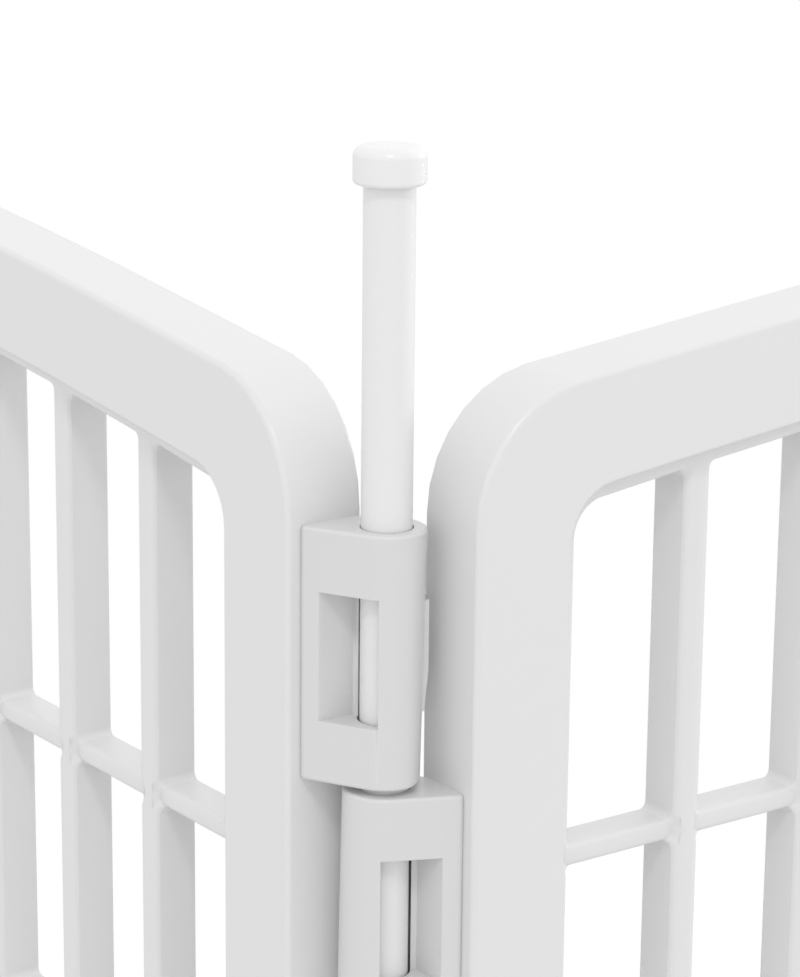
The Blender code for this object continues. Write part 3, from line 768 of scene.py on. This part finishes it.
def add_door_leaf(matrix):
    """The door's frame and grille, in line with the panel's own."""
    origin = Vector(matrix.translation)
    left, right = DOOR_LOW[0] - origin.x, DOOR_HIGH[0] - origin.x
    front, back = DOOR_LOW[1] - origin.y, DOOR_HIGH[1] - origin.y
    slats = [FIRST_SLAT + i * SLAT_PITCH for i in range(DOOR_FIRST_SLAT + 1, DOOR_LAST_SLAT)]
    bars = sorted(END_HEIGHT - FIRST_BAR_DROP - j * BAR_STEP for j in range(1, BAR_ROWS))
    shape = dict(DOOR_SHAPE, front=front, back=back)
    grille = Grille(left, right, DOOR_LOW[2], lambda x: DOOR_HIGH[2], slats, bars, shape)
    finish_mesh(grille.build(), "door_grille", WHITE, matrix, "door", ["door_leaf"])


def add_pins():
    """The door's pivot pins."""
    for level in ("upper", "lower"):
        low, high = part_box("door_pin_" + level)
        x, y = (low[0] + high[0]) / 2, (low[1] + high[1]) / 2
        radius = (high[0] - low[0]) / 2
        ease = 0.0004
        profile = [(0.0, high[2]), (radius - ease, high[2]), (radius, high[2] - ease)]
        profile += [(radius, low[2] + ease), (radius - ease, low[2]), (0.0, low[2])]
        bm = bmesh.new()
        turned(bm, x, y, profile, 32)
        finish_mesh(bm, "door_pivot_" + level, CAP, Matrix(), "door", ["door_pin_" + level], sharp=35)


def tunnel(node, body):
    """A bolt guide or keeper: a rounded block with a channel for the bolt."""
    low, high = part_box(node)
    bar_low, bar_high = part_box("bolt_bar_" + node.rsplit("_", 1)[1])
    ease = 0.0007
    stations = ((low[0], ease), (low[0] + ease, 0.0), (high[0] - ease, 0.0), (high[0], ease))
    loops = []
    for x, inset in stations:
        outer_low = (low[1] + inset, low[2] + inset)
        outer_high = (high[1] - inset, high[2] - inset)
        outside = rounded_rectangle(outer_low, outer_high, BLOCK_ROUND - inset, 5)
        loops.append([(x, y, z) for y, z in outside])
    for x, flare in reversed(stations):
        wider, taller = CHANNEL_SLACK + flare * 0.7, CHANNEL_SLACK + flare
        inner_low = (bar_low[1] - wider, bar_low[2] - taller)
        inner_high = (bar_high[1] + wider, bar_high[2] + taller)
        channel = rounded_rectangle(inner_low, inner_high, 0.0005 + flare * 0.5, 5)
        loops.append([(x, y, z) for y, z in channel])
    loops.append(loops[0])
    bm = bmesh.new()
    loft(bm, loops)
    finish_mesh(bm, node + "_block", WHITE, Matrix(), body, [node], sharp=40)


def add_bolt(level):
    """A door bolt: a flat bar with eased edges and a ribbed thumb knob."""
    body = "bolt_" + level
    low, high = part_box("bolt_bar_" + level)
    ease = 0.0006
    stations = ((low[0], ease), (low[0] + ease, 0.0), (high[0] - 0.002, 0.0), (high[0], 0.0012))
    loops = []
    for x, inset in stations:
        section_low = (low[1] + inset, low[2] + inset)
        section_high = (high[1] - inset, high[2] - inset)
        section = rounded_rectangle(section_low, section_high, BOLT_ROUND)
        loops.append([(x, y, z) for y, z in section])
    bm = bmesh.new()
    capped_loft(bm, loops)
    finish_mesh(bm, "bolt_bar_%s_strip" % level, CAP, Matrix(), body, ["bolt_bar_" + level], sharp=40)

    low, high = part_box("bolt_knob_" + level)
    radius = (high[0] - low[0]) / 2
    tall = high[1] - low[1]
    # (radius, height)
    stem = [(0.0, 0.0), (radius * 0.72, 0.0), (radius * 0.66, 0.0014), (radius * 0.78, tall * 0.34)]
    head = [(radius * 0.97, tall * 0.48), (radius, tall * 0.60), (radius, tall * 0.80)]
    dome = arc(radius - KNOB_ROUND, tall - KNOB_ROUND, KNOB_ROUND, 0, 90, 4)
    bm = bmesh.new()
    turned(bm, 0.0, 0.0, stem + head + dome + [(radius * 0.5, tall), (0.0, tall - 0.0004)], 48)
    x, z = (low[0] + high[0]) / 2, (low[2] + high[2]) / 2
    place = Matrix.Translation((x, high[1], z)) @ Matrix.Rotation(math.pi / 2, 4, "X")
    finish_mesh(bm, "bolt_knob_%s_button" % level, CAP, place, body, ["bolt_knob_" + level], sharp=40)


def add_door():
    """The door with its pins, guides, bolts and keepers."""
    add_door_leaf(side_matrix("front"))
    add_pins()
    for level in ("upper", "lower"):
        tunnel("bolt_guide_" + level, "door")
        tunnel("bolt_keeper_" + level, "front")
        add_bolt(level)


# ---------------------------------------------------------------- the studio
FLOOR_RADIUS = 30.0
FLOOR_GREY = (0.92, 0.92, 0.92, 1.0)
WHITE_SKY = (1.0, 1.0, 1.0, 1.0)
CAMERA_LEFT = 36.0          # degrees between the line of sight and the front panel
CAMERA_BACK = 0.756         # from the first corner's axis, level with the ground
CAMERA_SIDE = -0.00307
CAMERA_DROP = -0.2108       # height from the camera to the top knuckle, which is below it
CAMERA_PITCH = math.radians(14.92)
CAMERA_ROLL = math.radians(0.59)
CAMERA_LENS = 121.5967      # mm, on a sensor 36 mm high
CAMERA_REACH = 1.6          # nothing beyond this shows, which leaves out the far panels
AIM = (0.42, -0.42, 0.5)    # what the lamps point at, beside the first corner


def add_floor():
    """A plain pale floor, which the lamps skip, so that no lamp draws an edge or a hot spot on it."""
    bm = bmesh.new()
    bmesh.ops.create_circle(bm, cap_ends=True, segments=128, radius=FLOOR_RADIUS)
    mesh = bpy.data.meshes.new("floor")
    bm.to_mesh(mesh)
    bm.free()
    floor = bpy.data.objects.new("floor", mesh)
    bpy.context.scene.collection.objects.link(floor)
    pale = bpy.data.materials.new("pale_floor")
    pale.use_nodes = True
    shader = pale.node_tree.nodes["Principled BSDF"]
    shader.inputs["Base Color"].default_value = FLOOR_GREY
    shader.inputs["Roughness"].default_value = 0.9
    mesh.materials.append(pale)
    only_sky = bpy.data.collections.new("only_sky")
    only_sky.objects.link(floor)
    only_sky.collection_objects[0].light_linking.link_state = "EXCLUDE"
    for light in [o for o in bpy.context.scene.objects if o.type == "LIGHT"]:
        light.light_linking.receiver_collection = only_sky


def add_area(name, spot, size, power):
    """A soft lamp that points at the first corner."""
    data = bpy.data.lights.new(name, "AREA")
    data.shape = "DISK"
    data.size = size
    data.energy = power
    light = bpy.data.objects.new(name, data)
    light.location = spot
    light.rotation_euler = (Vector(AIM) - Vector(spot)).to_track_quat("-Z", "Y").to_euler()
    bpy.context.scene.collection.objects.link(light)


def add_camera():
    """Outside the first corner and a little above it, on a long lens."""
    azimuth = math.radians(90 - CAMERA_LEFT)
    forward = Vector((-math.sin(azimuth), math.cos(azimuth), 0.0))
    right = Vector((math.cos(azimuth), math.sin(azimuth), 0.0))
    spot = Vector((CORNER[1][0], CORNER[1][1], TOP_KNUCKLE))
    spot -= forward * CAMERA_BACK + right * CAMERA_SIDE + Vector((0, 0, CAMERA_DROP))
    data = bpy.data.cameras.new("camera")
    data.lens = CAMERA_LENS
    data.sensor_width = 36.0
    data.clip_start = 0.05
    data.clip_end = CAMERA_REACH
    camera = bpy.data.objects.new("camera", data)
    look = forward * math.cos(CAMERA_PITCH) - Vector((0, 0, math.sin(CAMERA_PITCH)))
    roll = Matrix.Rotation(CAMERA_ROLL, 4, "Z")
    turn = look.to_track_quat("-Z", "Y").to_matrix().to_4x4() @ roll
    camera.matrix_world = Matrix.Translation(spot) @ turn
    bpy.context.scene.collection.objects.link(camera)
    bpy.context.scene.camera = camera


def add_world():
    """An even white surround."""
    world = bpy.data.worlds.new("studio")
    world.use_nodes = True
    background = world.node_tree.nodes["Background"]
    background.inputs["Color"].default_value = WHITE_SKY
    background.inputs["Strength"].default_value = 1.0
    bpy.context.scene.world = world
    bpy.context.scene.view_settings.view_transform = "Standard"


add_camera()
add_world()
add_area("key", spot=(1.7, -1.3, 2.6), size=0.4, power=11.2)
add_area("right", spot=(0.75, 2.4, 1.1), size=0.8, power=23.0)
add_panels()
add_rods()
add_feet()
add_door()
add_floor()
